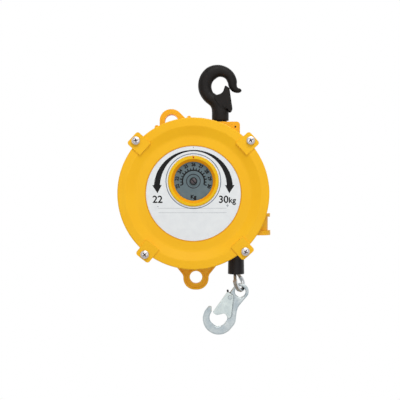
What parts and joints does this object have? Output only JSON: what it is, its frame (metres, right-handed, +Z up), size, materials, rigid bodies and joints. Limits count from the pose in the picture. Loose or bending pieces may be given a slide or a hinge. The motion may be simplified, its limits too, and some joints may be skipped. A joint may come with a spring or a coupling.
{
  "type": "spring tool balancer",
  "caption": "Round cast spring balancer that hangs from a swivel safety hook and carries a tool on a wire rope with a gated load hook.",
  "frame": {"origin": "the saddle of the suspension hook, where it bears on its rail or shackle, on the swivel's axis", "axes": "+Z up along the swivel axis, -Y out of the front cover and its dial, +X towards the rope and the adjusting worm"},
  "size_m": [0.2237, 0.1185, 0.4105],
  "materials": {
    "case_paint": "satin paint over a sand casting",
    "cover_paint": "satin paint over a die casting",
    "black_rubber": "moulded",
    "zinc_steel": "zinc plated",
    "zinc_sheet": "zinc plated sheet",
    "label_face": "printed plate",
    "dial_face": "grey anodised, printed",
    "brass": "machined",
    "dark_steel": "blackened",
    "black_forging": "black oxide over a forging",
    "bronze": "machined bronze",
    "cast_aluminium": "as cast and turned",
    "wire_rope": "greased strands",
    "bright_steel": "ground",
    "black_nylon": "moulded",
    "cast_iron": "machined casting",
    "spring_steel": "blued strip"
  },
  "bodies": {
    "hook": {"top_hook": "black_forging", "hook_nut": "zinc_steel", "hook_split_pin": "zinc_steel", "hook_latch_pin": "dark_steel"},
    "latch": {"hook_latch": "black_forging"},
    "housing": {"rear_case": "case_paint", "front_cover": "cover_paint", "cover_gasket": "black_rubber", "cover_screws": "zinc_steel", "cover_washers": "zinc_steel", "label_plate": "label_face", "hook_bush": "bronze", "hook_thrust_washer": "bronze", "rope_guide": "black_nylon", "bearing_outer_ring": "bright_steel", "bearing_balls": "bright_steel", "worm_upper_bush": "bronze", "worm_lower_bush": "bronze", "worm_cap": "cover_paint", "bearing_bridge": "dark_steel", "bridge_screws": "zinc_steel", "dial_axle": "dark_steel"},
    "drum": {"rope_drum": "cast_aluminium", "rope_wraps": "wire_rope", "drum_shaft": "bright_steel", "drum_key": "bright_steel", "spring_arbor": "bright_steel", "bearing_inner_ring": "bright_steel", "power_spring": "spring_steel"},
    "spring_case": {"spring_case": "cast_iron", "case_bush": "bronze", "spring_case_lid": "cast_iron", "lid_screws": "dark_steel", "worm_wheel": "bronze", "dial_pinion": "brass"},
    "dial": {"dial_gear": "brass", "dial_disc": "dial_face"},
    "worm": {"adjusting_worm": "bright_steel"},
    "rope_end": {"rope_run": "wire_rope", "bumper": "black_rubber", "rope_ferrule": "cast_aluminium", "rope_loop": "wire_rope", "thimble": "bright_steel"},
    "load_hook": {"load_hook": "zinc_steel", "gate_pin": "zinc_steel"},
    "load_gate": {"load_gate": "zinc_sheet"}
  },
  "joints": [
    {"name": "hook_swivel", "type": "hinge", "parent": "hook", "child": "housing", "pos_m": [0, 0, 0], "axis": [0, 0, 1], "continuous": true},
    {"name": "latch_hinge", "type": "hinge", "parent": "hook", "child": "latch", "pos_m": [0.0065, 0, -0.0449], "axis": [0, -1, 0], "range_deg": [0, 22], "stiffness_Nm_per_rad": 0.05, "springref_deg": -45.84},
    {"name": "drum_spin", "type": "hinge", "parent": "housing", "child": "drum", "pos_m": [-0.0405, 0, -0.1787], "axis": [0, 1, 0], "range_deg": [0, 1200], "stiffness_Nm_per_rad": 0.24, "springref_deg": -3724.23},
    {"name": "rope_slide", "type": "slide", "parent": "housing", "child": "rope_end", "axis": [0, 0, -1], "range_m": [0, 1.5], "deforming": ["rope_run"]},
    {"name": "spring_case_turn", "type": "hinge", "parent": "housing", "child": "spring_case", "pos_m": [-0.0405, 0, -0.1787], "axis": [0, 1, 0], "range_deg": [-323, 323]},
    {"name": "dial_turn", "type": "hinge", "parent": "housing", "child": "dial", "pos_m": [-0.0405, 0, -0.1607], "axis": [0, 1, 0], "range_deg": [-107.7, 107.7]},
    {"name": "worm_turn", "type": "hinge", "parent": "housing", "child": "worm", "pos_m": [0.0515, -0.034, -0.1787], "axis": [0, 0, 1], "range_deg": [-21320, 21320]},
    {"name": "load_hook_swing", "type": "hinge", "parent": "rope_end", "child": "load_hook", "pos_m": [0.03219, 0, -0.3251], "axis": [0, 1, 0], "range_deg": [-110, 28]},
    {"name": "gate_hinge", "type": "hinge", "parent": "load_hook", "child": "load_gate", "pos_m": [0.01476, 0, -0.33582], "axis": [0, -1, 0], "range_deg": [0, 30], "stiffness_Nm_per_rad": 0.02, "springref_deg": -45.84}
  ],
  "couplings": [
    {"joint": "rope_slide", "follows": "drum_spin", "m_per_rad": 0.07162},
    {"joint": "dial_turn", "follows": "spring_case_turn", "ratio": -0.33333},
    {"joint": "worm_turn", "follows": "spring_case_turn", "ratio": 66}
  ]
}
